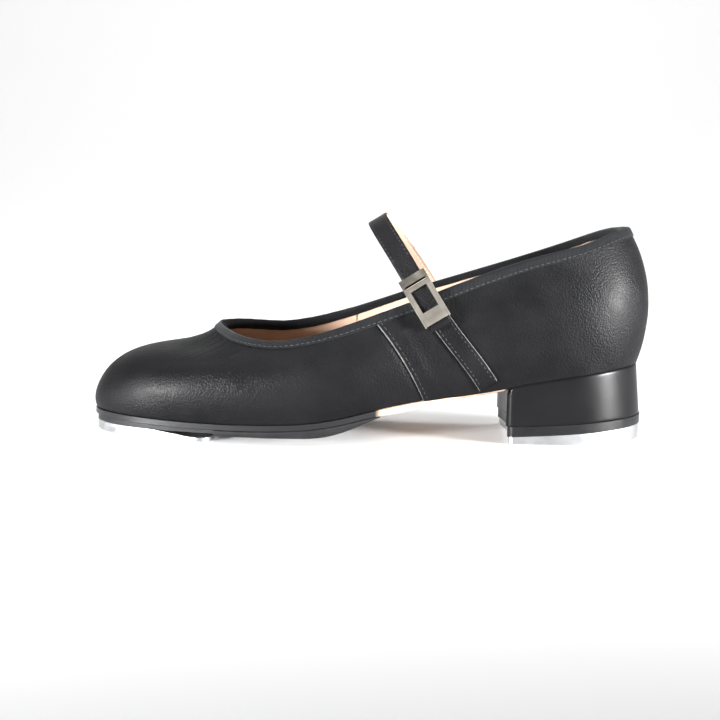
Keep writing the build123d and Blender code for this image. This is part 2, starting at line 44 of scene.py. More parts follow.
# ------------------------------------------------------------------ shape of the shoe
# feather x, y; topline x, y, z; swell low, halfway and high on the wall; toe share
STATIONS = np.array([
    (121.2, 0.0, 115.0, 0.0, 95.1, 5.4, 7.3, 5.6, 0.0),
    (112.8, -16.4, 108.0, -14.6, 94.0, 4.5, 6.0, 4.2, 0.0),
    (95.0, -26.8, 92.5, -24.8, 88.6, 3.2, 4.2, 2.6, 0.0),
    (72.0, -28.9, 71.0, -29.8, 82.8, 2.8, 3.4, 1.8, 0.0),
    (48.0, -28.0, 47.0, -32.4, 74.6, 3.0, 3.2, 1.6, 0.0),
    (22.0, -28.9, 23.0, -34.4, 65.3, 4.2, 4.0, 2.0, 0.0),
    (-2.0, -34.4, 0.0, -35.2, 56.8, 4.4, 5.0, 3.0, 0.0),
    (-27.0, -40.0, -22.0, -34.2, 48.8, 4.0, 5.8, 4.2, 0.1),
    (-54.0, -39.4, -42.0, -29.8, 44.3, 4.8, 7.4, 5.2, 0.35),
    (-82.5, -33.8, -56.5, -22.4, 44.9, 6.9, 9.6, 5.6, 0.65),
    (-105.0, -25.8, -63.8, -13.0, 46.4, 8.9, 11.3, 5.0, 0.88),
    (-120.6, -13.2, -67.8, -5.6, 48.0, 10.0, 12.0, 4.8, 1.0),
    (-126.3, 0.6, -69.0, 1.0, 49.1, 10.1, 12.0, 4.7, 1.0),
    (-121.0, 14.0, -67.4, 7.6, 48.9, 10.0, 12.0, 4.8, 1.0),
    (-106.0, 26.4, -62.6, 15.2, 48.3, 8.9, 11.3, 5.0, 0.88),
    (-83.5, 34.6, -54.5, 22.4, 47.3, 6.9, 9.6, 5.6, 0.65),
    (-57.0, 38.8, -41.0, 28.0, 46.3, 4.6, 7.0, 5.0, 0.35),
    (-31.0, 37.4, -24.0, 31.2, 48.8, 3.6, 5.2, 4.0, 0.1),
    (-6.0, 30.4, -3.0, 32.4, 54.7, 3.4, 4.2, 2.6, 0.0),
    (19.0, 24.6, 19.0, 32.0, 62.0, 3.2, 3.6, 1.8, 0.0),
    (43.0, 23.4, 43.0, 31.0, 69.8, 2.6, 3.0, 1.6, 0.0),
    (68.0, 26.2, 68.0, 29.2, 78.1, 2.6, 3.2, 1.8, 0.0),
    (94.0, 26.0, 91.5, 25.0, 86.6, 3.2, 4.2, 2.6, 0.0),
    (112.8, 16.0, 108.0, 14.4, 93.4, 4.5, 6.0, 4.2, 0.0),
])
N = len(STATIONS)
# x and height of the leather sole's upper face
SEAT = np.array([(-150, 9.7), (-126, 9.4), (-104, 9.1), (-82, 8.5), (-58, 8.5), (-38, 9.1),
                 (-26, 9.9), (-13, 11.8), (2, 15.0), (22, 18.6), (41, 21.1), (56, 23.9),
                 (72, 27.6), (95, 31.3), (112, 33.3), (125, 34.4), (150, 36.0)], float)
SOLE = 2.8                # thickness of the leather sole at the forepart
FEATHER_RISE = 0.1        # the wall starts this far above the sole
BINDING_WIDTH = 4.2       # outside the shoe
BINDING_INNER = 2.6       # inside the shoe
LAP = 0.17                # how far the vamp runs under the quarters, in stations
UPPER_THICK = 1.2
HEEL_FRONT = 60.0
HEEL_REACH = 62.0
LIFT_FRONT, LIFT_BACK = 7.5, 10.6     # underside of the heel block
TAB_HALF_WIDTH, TAB_COLS, TAB_ROWS = 4.5, 12, 60
FINE_STITCH = {"pitch": 2.3, "length": 1.6}


def mix(a, b, k):
    return a + (b - a) * k


def smooth(k):
    k = np.clip(k, 0.0, 1.0)
    return k * k * (3 - 2 * k)


def seat(x):
    """Height of the leather sole's upper face."""
    x = np.asarray(x, float)
    i = np.clip(np.searchsorted(SEAT[:, 0], x, side="right") - 1, 1, len(SEAT) - 3)
    (x0, z0), (x1, z1), (x2, z2), (x3, z3) = [SEAT.T[:, i + k] for k in (-1, 0, 1, 2)]
    f = (x - x1) / (x2 - x1)
    m1 = (z2 - z0) / (x2 - x0) * (x2 - x1)
    m2 = (z3 - z1) / (x3 - x1) * (x2 - x1)
    return ((2 * f ** 3 - 3 * f * f + 1) * z1 + (f ** 3 - 2 * f * f + f) * m1
            + (3 * f * f - 2 * f ** 3) * z2 + (f ** 3 - f * f) * m2)


def closed_spline(points):
    """Closed uniform cubic B-spline through the points."""
    n = len(points)
    band = np.zeros((n, n))
    for i in range(n):
        band[i, i], band[i, i - 1], band[i, (i + 1) % n] = 4 / 6, 1 / 6, 1 / 6
    ctrl = np.linalg.solve(band, np.asarray(points, float))

    def curve(u):
        u = np.asarray(u, float) % n
        i = np.floor(u).astype(int)
        f = (u - i)[..., None]
        weights = ((1 - f) ** 3 / 6, (3 * f ** 3 - 6 * f * f + 4) / 6,
                   (-3 * f ** 3 + 3 * f * f + 3 * f + 1) / 6, f ** 3 / 6)
        return sum(w * ctrl[(i + k - 1) % n] for k, w in enumerate(weights))
    return curve


feather_plan = closed_spline(STATIONS[:, :2])


def plan_normal(u):
    """Outward normal of the feather line in plan."""
    d = feather_plan(u + 0.02) - feather_plan(u - 0.02)
    d = d / np.linalg.norm(d, axis=-1, keepdims=True)
    return np.stack([-d[..., 1], d[..., 0]], -1)


def guides():
    """Closed curves round the wall: feather line, three swells and the topline."""
    fx, fy, tx, ty, tz, b1, b2, b3, toe = STATIONS.T
    foot = np.stack([fx, fy, seat(fx) + FEATHER_RISE], -1)
    top = np.stack([tx, ty, tz], -1)
    normal = plan_normal(np.arange(N))
    rise = np.radians(mix(6, 55.4, toe))
    out = np.stack([normal[:, 0] * np.cos(rise), normal[:, 1] * np.cos(rise), np.sin(rise)], -1)
    rows = [foot]
    places = ((mix(0.25, 0.14, toe), b1), (mix(0.5, 0.395, toe), b2), (mix(0.75, 0.665, toe), b3))
    for share, swell in places:
        rows.append(foot + (top - foot) * share[:, None] + out * swell[:, None])
    return [closed_spline(row) for row in rows + [top]]


GUIDES = guides()
KNOTS = (0.0, 0.25, 0.5, 0.75, 1.0)


def wall_point(u, v):
    """Point of the outer face: u in stations round the shoe, v from feather to topline."""
    u, v = np.broadcast_arrays(np.asarray(u, float), np.asarray(v, float))
    total = np.zeros(u.shape + (3,))
    for i, guide in enumerate(GUIDES):
        weight = np.ones(u.shape)
        for j, knot in enumerate(KNOTS):
            if j != i:
                weight = weight * (v - knot) / (KNOTS[i] - knot)
        point = guide(u)
        if i == 0:
            point = np.stack([point[..., 0], point[..., 1], seat(point[..., 0]) + FEATHER_RISE], -1)
        total += point * weight[..., None]
    return total


def unit(a):
    return a / np.maximum(np.linalg.norm(a, axis=-1, keepdims=True), 1e-9)


def wall_normal(u, v):
    along = wall_point(u + 0.02, v) - wall_point(u - 0.02, v)
    up = wall_point(u, v + 0.01) - wall_point(u, v - 0.01)
    return -unit(np.cross(along, up))


def wall(u, v, off=0.0):
    return wall_point(u, v) + wall_normal(u, v) * np.asarray(off)[..., None]


def wall_reach(u):
    """Millimetres of wall per unit of v at the topline."""
    return np.linalg.norm(wall_point(u, 1.0) - wall_point(u, 0.99), axis=-1) * 100


def on_wall(x, z, u, v):
    """Wall parameters of the places seen at x, z on one side."""
    u = np.full(np.shape(x), float(u))
    v = np.full(np.shape(x), float(v))
    for _ in range(14):
        p = wall_point(u, v)
        pu = (wall_point(u + 0.01, v) - p) * 100
        pv = (wall_point(u, v + 0.01) - p) * 100
        det = pu[..., 0] * pv[..., 2] - pv[..., 0] * pu[..., 2]
        ex, ez = x - p[..., 0], z - p[..., 2]
        u = u + (ex * pv[..., 2] - pv[..., 0] * ez) / det
        v = v + (pu[..., 0] * ez - pu[..., 2] * ex) / det
    return u, v


# ------------------------------------------------------------------ meshes
def grid_faces(rows, cols, start=0, flip=False):
    faces = []
    for i in range(rows - 1):
        for j in range(cols - 1):
            a = start + i * cols + j
            quad = (a, a + 1, a + cols + 1, a + cols)
            faces.append(quad[::-1] if flip else quad)
    return faces


def rim_of(rows, cols):
    return ([j for j in range(cols)] + [i * cols + cols - 1 for i in range(1, rows)]
            + [(rows - 1) * cols + j for j in range(cols - 2, -1, -1)]
            + [i * cols for i in range(rows - 2, 0, -1)])


def finish_mesh(name, verts, faces, mats, body, replaces=(), face_mats=None, bevel=0.0,
                attributes=None, sharp=40):
    mesh = bpy.data.meshes.new(name)
    mesh.from_pydata((np.asarray(verts) * MM).tolist(), [], faces)
    mesh.update()
    for key, values in (attributes or {}).items():
        layer = mesh.attributes.new(key, "FLOAT", "POINT")
        layer.data.foreach_set("value", np.asarray(values, np.float32).ravel())
    for mat in mats:
        mesh.materials.append(mat)
    if face_mats is not None:
        mesh.polygons.foreach_set("material_index", face_mats)
    work = bmesh.new()
    work.from_mesh(mesh)
    bmesh.ops.remove_doubles(work, verts=work.verts, dist=2e-6)
    bmesh.ops.dissolve_degenerate(work, edges=work.edges, dist=1e-6)
    bmesh.ops.recalc_face_normals(work, faces=work.faces)
    work.to_mesh(mesh)
    work.free()
    mesh.shade_smooth()
    if sharp:
        mesh.set_sharp_from_angle(angle=radians(sharp))
    obj = bpy.data.objects.new(name, mesh)
    bpy.context.scene.collection.objects.link(obj)
    if bevel:
        mod = obj.modifiers.new("round", "BEVEL")
        mod.width, mod.segments, mod.limit_method = bevel * MM, 2, "ANGLE"
        mod.angle_limit = radians(45)
    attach(obj, body)
    if replaces:
        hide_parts(*replaces)
    return obj


def slab(name, outer, inner, mats, body, replaces=(), edge_mat=0, bevel=0.25):
    """Closed piece between two grids of the same size; its rim takes the material edge_mat."""
    rows, cols = outer.shape[:2]
    count = rows * cols
    verts = np.concatenate([outer.reshape(-1, 3), inner.reshape(-1, 3)])
    faces = grid_faces(rows, cols) + grid_faces(rows, cols, count, True)
    tags = [0] * len(faces)
    rim = rim_of(rows, cols)
    for k, a in enumerate(rim):
        b = rim[(k + 1) % len(rim)]
        faces.append((a, a + count, b + count, b))
        tags.append(edge_mat)
    return finish_mesh(name, verts, faces, mats, body, replaces, tags, bevel)


def steps(a, b, n):
    return np.linspace(a, b, n + 1)


def cell(na, nb):
    return np.meshgrid(steps(0, 1, na), steps(0, 1, nb), indexing="ij")


def ripple(p, waves):
    """Smooth irregular surface movement made of a few slow waves."""
    total = np.zeros(p.shape[:-1])
    for (kx, ky, kz), phase, size in waves:
        warp = 0.9 * np.sin(p[..., 0] * 0.11 + p[..., 2] * 0.17 + phase * 2.1)
        total += size * np.sin(p[..., 0] * kx + p[..., 1] * ky + p[..., 2] * kz + phase + warp)
    return total


def creases(p):
    """Walking creases where the forepart bends, and a slow unevenness over the whole wall."""
    x, z = p[..., 0], p[..., 2]
    bend = np.exp(-((x + 60) / 17) ** 2) * smooth((z - 17) / 10) * smooth((48 - z) / 6)
    fine = ripple(p, [((0.9, 0.35, 3.4), 0.4, 0.5), ((1.9, -0.5, 2.9), 2.2, 0.4),
                      ((0.5, 0.8, 4.6), 4.0, 0.3)])
    soft = ripple(p, [((0.22, 0.16, 0.3), 1.0, 0.5), ((0.33, -0.2, 0.18), 3.3, 0.35)])
    return -0.24 * bend * np.abs(fine) ** 1.4 + 0.10 * soft * smooth((z - 10) / 12)


def wall_slab(name, u0, u1, v0, v1, low, high, mat, replaces, na, nb, bevel):
    """Layer of the upper; u limits are functions of v, offsets numbers or functions of (a, v)."""
    a, b = cell(na, nb)
    v = mix(v0, v1, b)
    u = mix(u0(v), u1(v), a)
    high_off = high(a, v) if callable(high) else np.full(a.shape, high)
    low_off = low(a, v) if callable(low) else np.full(a.shape, low)
    base, normal = wall_point(u, v), wall_normal(u, v)
    move = creases(base)
    outer = base + normal * (high_off + move)[..., None]
    inner = base + normal * (low_off + move)[..., None]
    return slab(name, outer, inner, [mat], "shoe", replaces, bevel=bevel)


def stitches(name, path, normal, mat, body, slot, pitch=2.6, length=1.9, radius=0.2):
    """Row of sewn stitches along a line of points with surface normals."""
    sink = 0.04
    gap = np.linalg.norm(np.diff(path, axis=0), axis=-1)
    run = np.concatenate([[0], np.cumsum(gap)])
    count = max(2, int(run[-1] / pitch))
    verts, faces = [], []
    around, rings = 6, 6
    for k in range(count):
        s = (k + 0.5) * run[-1] / count
        mid = np.array([np.interp(s, run, path[:, c]) for c in range(3)])
        up = unit(np.array([np.interp(s, run, normal[:, c]) for c in range(3)]))
        ahead = [np.interp(s + 0.3, run, path[:, c]) - np.interp(s - 0.3, run, path[:, c]) for c in range(3)]
        along = unit(np.array(ahead))
        side = np.cross(up, along)
        start = len(verts)
        for i in range(rings + 1):
            t = -1 + 2 * i / rings
            size = radius * np.sqrt(max(0.03, 1 - t ** 4))
            lift = 0.16 - 0.30 * t * t
            for q in range(around):
                w = 2 * pi * q / around
                verts.append(mid + along * t * length / 2 + side * cos(w) * size
                             + up * (sin(w) * size * 0.9 + lift * radius * 2 - sink))
        for i in range(rings):
            for q in range(around):
                a, b = start + i * around + q, start + i * around + (q + 1) % around
                faces.append((a, b, b + around, a + around))
        faces.append(tuple(start + q for q in range(around))[::-1])
        faces.append(tuple(start + rings * around + q for q in range(around)))
    return finish_mesh(name, verts, faces, [mat], body, sharp=0)


# ------------------------------------------------------------------ materials
def node_material(name):
    mat = bpy.data.materials.new(name)
    mat.use_nodes = True
    tree = mat.node_tree
    shader = tree.nodes["Principled BSDF"]
    return mat, tree, shader


def link(tree, a, b):
    tree.links.new(a, b)


def object_coords(tree, scale=(1, 1, 1)):
    coords = tree.nodes.new("ShaderNodeTexCoord")
    mapping = tree.nodes.new("ShaderNodeMapping")
    mapping.inputs["Scale"].default_value = scale
    link(tree, coords.outputs["Object"], mapping.inputs["Vector"])
    return mapping.outputs["Vector"]


def noise(tree, vector, scale, detail=3.0, rough=0.5, distortion=0.0):
    node = tree.nodes.new("ShaderNodeTexNoise")
    node.inputs["Scale"].default_value = scale
    node.inputs["Detail"].default_value = detail
    node.inputs["Roughness"].default_value = rough
    node.inputs["Distortion"].default_value = distortion
    link(tree, vector, node.inputs["Vector"])
    return node.outputs["Fac"]


def cells(tree, vector, scale):
    node = tree.nodes.new("ShaderNodeTexVoronoi")
    node.feature = "F1"
    node.inputs["Scale"].default_value = scale
    link(tree, vector, node.inputs["Vector"])
    return node.outputs["Distance"]


def ramp(tree, value, low, high, out_low=0.0, out_high=1.0):
    node = tree.nodes.new("ShaderNodeMapRange")
    node.clamp = True
    for key, number in (("From Min", low), ("From Max", high), ("To Min", out_low), ("To Max", out_high)):
        node.inputs[key].default_value = number
    link(tree, value, node.inputs["Value"])
    return node.outputs["Result"]


def blend_colour(tree, factor, a, b):
    node = tree.nodes.new("ShaderNodeMix")
    node.data_type = "RGBA"
    for socket, colour in ((node.inputs[6], a), (node.inputs[7], b)):
        if isinstance(colour, tuple):
            socket.default_value = (*colour, 1)
        else:
            link(tree, colour, socket)
    link(tree, factor, node.inputs[0])
    return node.outputs[2]


def bump(tree, height, strength, distance, below=None):
    node = tree.nodes.new("ShaderNodeBump")
    node.inputs["Strength"].default_value = strength
    node.inputs["Distance"].default_value = distance
    link(tree, height, node.inputs["Height"])
    if below is not None:
        link(tree, below, node.inputs["Normal"])
    return node.outputs["Normal"]


def leather(name, dark, light, rough=(0.38, 0.50), grain=1150, depth=0.7, coat=0.03, coat_rough=0.3,
            pore=0.00020, shine=0.07):
    mat, tree, shader = node_material(name)
    at = object_coords(tree)
    cloudy = noise(tree, at, 38, 4, 0.6)
    link(tree, blend_colour(tree, ramp(tree, cloudy, 0.3, 0.7), dark, light), shader.inputs["Base Color"])
    link(tree, ramp(tree, noise(tree, at, 75, 5, 0.65), 0.3, 0.7, *rough), shader.inputs["Roughness"])
    pebble = ramp(tree, cells(tree, at, grain), 0.0, 0.75, 1.0, 0.0)
    fine = noise(tree, at, grain * 2.2, 3, 0.6)
    slow = noise(tree, at, 120, 4, 0.55, 0.6)
    normal = bump(tree, slow, 0.22, 0.00018)
    normal = bump(tree, pebble, depth, pore, normal)
    normal = bump(tree, fine, depth * 0.5, pore * 0.6, normal)
    link(tree, normal, shader.inputs["Normal"])
    shader.inputs["Coat Weight"].default_value = coat
    shader.inputs["Coat Roughness"].default_value = coat_rough
    shader.inputs["Specular IOR Level"].default_value = shine
    return mat


def woven(name, dark, light, pitch):
    """Ribbed tape: ribs follow the distance along the piece, stored in metres as "along"."""
    mat, tree, shader = node_material(name)
    at = object_coords(tree)
    stored = tree.nodes.new("ShaderNodeAttribute")
    stored.attribute_name = "along"
    turn = tree.nodes.new("ShaderNodeMath")
    turn.operation = "MULTIPLY"
    turn.inputs[1].default_value = 2 * pi / pitch
    link(tree, stored.outputs["Fac"], turn.inputs[0])
    wave = tree.nodes.new("ShaderNodeMath")
    wave.operation = "SINE"
    link(tree, turn.outputs[0], wave.inputs[0])
    rib = ramp(tree, wave.outputs[0], -1, 1)
    link(tree, blend_colour(tree, rib, dark, light), shader.inputs["Base Color"])
    normal = bump(tree, rib, 0.9, 0.00025)
    normal = bump(tree, noise(tree, at, 3200, 2, 0.6), 0.5, 0.00006, normal)
    link(tree, normal, shader.inputs["Normal"])
    shader.inputs["Roughness"].default_value = 0.85
    shader.inputs["Sheen Weight"].default_value = 0.06
    shader.inputs["Specular IOR Level"].default_value = 0.1
    shader.inputs["Sheen Roughness"].default_value = 0.4
    return mat


def plain(name, dark, light, rough, metal=0.0, grain=300, depth=0.2, spread=0.00005, scale=(1, 1, 1),
          shine=0.5):
    mat, tree, shader = node_material(name)
    at = object_coords(tree, scale)
    link(tree, blend_colour(tree, ramp(tree, noise(tree, at, grain * 0.25, 5, 0.6), 0.3, 0.7), dark, light),
         shader.inputs["Base Color"])
    link(tree, ramp(tree, noise(tree, at, grain * 0.5, 4, 0.6), 0.3, 0.7, *rough), shader.inputs["Roughness"])
    link(tree, bump(tree, noise(tree, at, grain, 4, 0.6), depth, spread), shader.inputs["Normal"])
    shader.inputs["Metallic"].default_value = metal
    shader.inputs["Specular IOR Level"].default_value = shine
    return mat


def sole_material():
    """Natural leather at the waist, inked dark at the forepart and under the heel."""
    mat, tree, shader = node_material("sole leather")
    at = object_coords(tree)
    tan = blend_colour(tree, ramp(tree, noise(tree, at, 60, 5, 0.6), 0.3, 0.7),
                       (0.34, 0.225, 0.155), (0.44, 0.305, 0.225))
    split = tree.nodes.new("ShaderNodeSeparateXYZ")
    link(tree, at, split.inputs[0])
    ink_end, waist_start = 0.0015, 0.0045
    edge = ramp(tree, split.outputs["X"], ink_end, waist_start)
    behind = ramp(tree, split.outputs["X"], 0.0585, 0.0600, 1.0, 0.0)
    both = tree.nodes.new("ShaderNodeMath")
    both.operation = "MULTIPLY"
    link(tree, edge, both.inputs[0])
    link(tree, behind, both.inputs[1])
    link(tree, blend_colour(tree, both.outputs[0], (0.009, 0.009, 0.010), tan), shader.inputs["Base Color"])
    link(tree, ramp(tree, split.outputs["X"], ink_end, waist_start, 0.34, 0.58), shader.inputs["Roughness"])
    shader.inputs["Specular IOR Level"].default_value = 0.22
    normal = bump(tree, noise(tree, object_coords(tree, (1, 1, 5)), 420, 4, 0.6), 0.3, 0.00008)
    link(tree, normal, shader.inputs["Normal"])
    return mat


BLACK = leather("black leather", (0.0032, 0.0032, 0.0036), (0.0056, 0.0056, 0.0062))
HEEL_BLACK = leather("heel leather", (0.003, 0.003, 0.0035), (0.005, 0.005, 0.0055), (0.30, 0.40),
                     1100, 0.3, 0.12, 0.2, 0.00005)
RAW_EDGE = plain("cut leather edge", (0.045, 0.044, 0.042), (0.10, 0.097, 0.094), (0.6, 0.8), 0, 900, 0.5)
TAN = leather("lining leather", (0.40, 0.272, 0.20), (0.50, 0.355, 0.27), (0.52, 0.66),
              1300, 0.35, 0.04, 0.4, 0.00005)
SOCK = leather("sock leather", (0.45, 0.31, 0.23), (0.55, 0.395, 0.30), (0.5, 0.64),
               1200, 0.35, 0.04, 0.4, 0.00005)
TAPE = woven("binding tape", (0.002, 0.002, 0.0022), (0.009, 0.010, 0.0115), 0.00062)
DARK_THREAD = plain("dark thread", (0.004, 0.004, 0.0045), (0.010, 0.010, 0.011), (0.5, 0.65),
                    0, 4000, 0.6, 0.0001)
THREAD = plain("black thread", (0.008, 0.009, 0.010), (0.018, 0.020, 0.022), (0.55, 0.7),
               0, 4000, 0.6, 0.0001)
PALE_THREAD = plain("pale thread", (0.55, 0.42, 0.33), (0.7, 0.56, 0.45), (0.6, 0.75),
                    0, 4000, 0.6, 0.0001)
SOLE_LEATHER = sole_material()
RUBBER = plain("tread rubber", (0.007, 0.007, 0.0075), (0.012, 0.012, 0.013), (0.45, 0.6),
               0, 700, 0.5, 0.00012, shine=0.16)
BOARD = plain("black fibre board", (0.008, 0.008, 0.009), (0.016, 0.016, 0.017), (0.4, 0.55),
              0, 900, 0.35, shine=0.16)
LIFT = plain("heel lift", (0.005, 0.005, 0.0055), (0.009, 0.009, 0.0095), (0.3, 0.45),
             0, 500, 0.25, shine=0.16)
ALUMINIUM = plain("tap metal", (0.36, 0.365, 0.375), (0.47, 0.475, 0.485), (0.28, 0.42),
                  1.0, 420, 0.25, 0.00005)
NICKEL = plain("nickel", (0.70, 0.645, 0.56), (0.86, 0.80, 0.71), (0.16, 0.27), 1.0, 260, 0.12, 0.00004)
STEEL = plain("steel", (0.5, 0.5, 0.51), (0.62, 0.62, 0.63), (0.25, 0.4), 1.0, 400, 0.2)
STIFF = plain("stiffener", (0.62, 0.60, 0.54), (0.74, 0.72, 0.66), (0.6, 0.8), 0, 800, 0.3)
CLOTH = plain("interlining", (0.68, 0.67, 0.62), (0.8, 0.79, 0.74), (0.8, 0.95), 0, 2400, 0.6, 0.0001)
CORK = plain("cork", (0.30, 0.16, 0.07), (0.60, 0.38, 0.20), (0.7, 0.9), 0, 600, 0.8, 0.0003)
INSOLE = plain("insole board", (0.42, 0.30, 0.19), (0.52, 0.39, 0.26), (0.7, 0.85), 0, 900, 0.4, 0.0001)
WOOD = plain("heel wood", (0.42, 0.26, 0.13), (0.62, 0.42, 0.24), (0.5, 0.7),
             0, 300, 0.3, 0.0001, (0.12, 1, 1))


# ------------------------------------------------------------------ upper
def seam_lateral(v):
    """Front edge of the outer quarter, in stations."""
    return 4.95 + 1.08 * v - 0.10 * v * (1 - v)


def seam_medial(v):
    return N - 4.95 - 0.98 * v


def make_upper():
    """Vamp tucked in at its ends and the two quarters stepped up where they lap over it."""
    vamp_span, quarter_span, step_width = N - 9.9, 5.0, 0.42
    tuck, step = 0.42, 0.40

    def vamp_high(a, v):
        near = np.minimum(a, 1 - a) * vamp_span
        return -tuck * smooth((LAP * 2.0 - near) / LAP)

    def quarter_high(a, v):
        return step * smooth((a * quarter_span - (quarter_span - step_width)) / 0.2)

    def medial_high(a, v):
        return quarter_high(1 - a, v)
    wall_slab("vamp_leather", lambda v: seam_lateral(v) - LAP, lambda v: seam_medial(v) + LAP, 0.0, 1.0,
              lambda a, v: vamp_high(a, v) * 0.4 - UPPER_THICK, vamp_high, BLACK,
              ["vamp"], na=420, nb=100, bevel=0.2)
    wall_slab("quarter_leather_lateral", lambda v: 0.004 + 0 * v, seam_lateral, 0.0, 1.0,
              lambda a, v: quarter_high(a, v) * 1.9 - UPPER_THICK, quarter_high, BLACK,
              ["quarter_lateral"], na=150, nb=44, bevel=0.12)
    wall_slab("quarter_leather_medial", seam_medial, lambda v: N - 0.004 + 0 * v, 0.0, 1.0,
              lambda a, v: medial_high(a, v) * 1.9 - UPPER_THICK, medial_high, BLACK,
              ["quarter_medial"], na=150, nb=44, bevel=0.12)
    for name, seam, side in (("seam_edge_lateral", seam_lateral, -1), ("seam_edge_medial", seam_medial, 1)):
        v = steps(0.02, 0.93, 80)
        path = wall(seam(v) + side * 0.07, v, np.full(v.shape, 0.42))
        stitches("stitch_" + name, path, wall_normal(seam(v) + side * 0.07, v), DARK_THREAD, "shoe",
                 "upper_leather", radius=0.15)


def make_seam_edges():
    """Cut edge that shows along the front of each quarter."""
    for name, seam, side in (("cut_edge_lateral", seam_lateral, 1), ("cut_edge_medial", seam_medial, -1)):
        a, b = cell(90, 1)
        v = mix(0.005, 0.93, a)
        u = seam(v) + side * mix(-0.006, 0.012, b)
        outer = wall(u, v, mix(0.43, 0.30, b))
        inner = wall(u, v, np.full(v.shape, -0.40))
        slab(name, outer, inner, [RAW_EDGE], "shoe", bevel=0.0)


def make_inner_layers():
    """Linings and interlinings, each between two distances inside the outer face."""
    def at(value):
        return lambda v: value + 0 * v
    linings = (("vamp_lining_leather", 6.2, N - 6.2, "vamp_lining", 160),
               ("quarter_lining_leather_lateral", 0.01, 6.18, "quarter_lining_lateral", 90),
               ("quarter_lining_leather_medial", N - 6.18, N - 0.01, "quarter_lining_medial", 90))
    for name, start, end, node, count in linings:
        wall_slab(name, at(start), at(end), 0.03, 0.995, -3.0, -2.3, TAN, [node],
                  na=count, nb=24, bevel=0.15)
    for side, start, end in (("lateral", 3.32, 8.96), ("medial", 15.04, N - 3.32)):
        wall_slab("interlining_cloth_" + side, at(start), at(end), 0.03, 0.95, -2.15, -1.5, CLOTH,
                  ["interlining_" + side], na=60, nb=14, bevel=0)


def make_binding():
    """Ribbed tape folded over the topline, with its row of stitches."""
    count = 420
    u = steps(0.012, N - 0.012, count)
    reach = wall_reach(u)
    width, inner = BINDING_WIDTH, BINDING_INNER
    # (rise above the topline, distance outside the wall) round the section of the tape
    ring = [(-width, 0.12), (-width + 0.05, 0.50), (-width + 0.35, 0.62), (-2.2, 0.66), (-0.5, 0.70),
            (0.25, 0.45), (0.62, -0.35), (0.72, -1.5), (0.62, -2.65), (0.25, -3.45), (-0.4, -3.66),
            (-1.5, -3.64), (-inner + 0.3, -3.6), (-inner + 0.05, -3.45), (-inner, -3.1),
            (-1.4, -3.08), (0.1, -3.05), (0.15, -1.5), (0.1, 0.05), (-2.0, 0.08)]
    path = wall_point(u, 1.0)
    run = np.concatenate([[0], np.cumsum(np.linalg.norm(np.diff(path, axis=0), axis=-1))])
    wobble = 0.05 * np.sin(run * 0.9) + 0.04 * np.sin(run * 0.37 + 1.0)
    loops = np.stack([wall(u, 1 + rise / reach, off + wobble * (rise > -3.5)) for rise, off in ring], 1)
    rows, cols = loops.shape[:2]
    verts = loops.reshape(-1, 3)
    faces = []
    for i in range(rows - 1):
        for j in range(cols):
            a, b = i * cols + j, i * cols + (j + 1) % cols
            faces.append((a, b, b + cols, a + cols))
    cap = ((0, 1, 2, 3, 19), (3, 4, 5, 18, 19), (5, 6, 7, 17, 18), (7, 8, 9, 16, 17),
           (9, 10, 11, 15, 16), (11, 12, 13, 14, 15))
    for row in (0, rows - 1):
        faces += [tuple(row * cols + j for j in face) for face in cap]
    along = np.repeat(run, cols)
    finish_mesh("topline_tape", verts, faces, [TAPE], "shoe", ["topline_binding"],
                attributes={"along": along * MM}, sharp=60)
    v = 1 - (width - 0.95) / reach
    stitches("stitch_binding", wall(u, v, np.full(u.shape, 0.68)), wall_normal(u, v), THREAD, "shoe",
             "binding", pitch=2.5, length=1.7, radius=0.19)


# ------------------------------------------------------------------ plates under the foot
BEYOND = 200      # an x past either end of the shoe, for a plate that isn't cut off


def plan_sides(inset):
    """Outer and inner outlines as y over x, a distance inside the feather line."""
    sides = []
    count = 900
    for u in (steps(N / 2, 0.0, count), steps(N / 2, N, count)):
        p = feather_plan(u)
        d = inset(p[:, 0]) if callable(inset) else inset
        q = p - plan_normal(u) * (d[:, None] if np.ndim(d) else d)
        order = np.argsort(q[:, 0], kind="stable")
        sides.append(q[order])
    return sides


def plan_grid(inset, x0, x1, nx, ny):
    """Points over the outline: rows along the shoe, columns from the outer to the inner side."""
    outer, inner = plan_sides(inset)
    lo = max(x0, outer[0, 0], inner[0, 0])
    hi = min(x1, outer[-1, 0], inner[-1, 0])
    x = (lo + hi) / 2 - (hi - lo) / 2 * np.cos(pi * steps(0, 1, nx))
    ya = np.interp(x, outer[:, 0], outer[:, 1])
    yb = np.interp(x, inner[:, 0], inner[:, 1])
    share = 0.5 - 0.5 * np.cos(pi * steps(0, 1, ny))
    y = ya[:, None] + (yb - ya)[:, None] * share
    across = np.abs(2 * share - 1)[None, :] + 0 * y
    return np.stack([x[:, None] + 0 * y, y, across], -1)


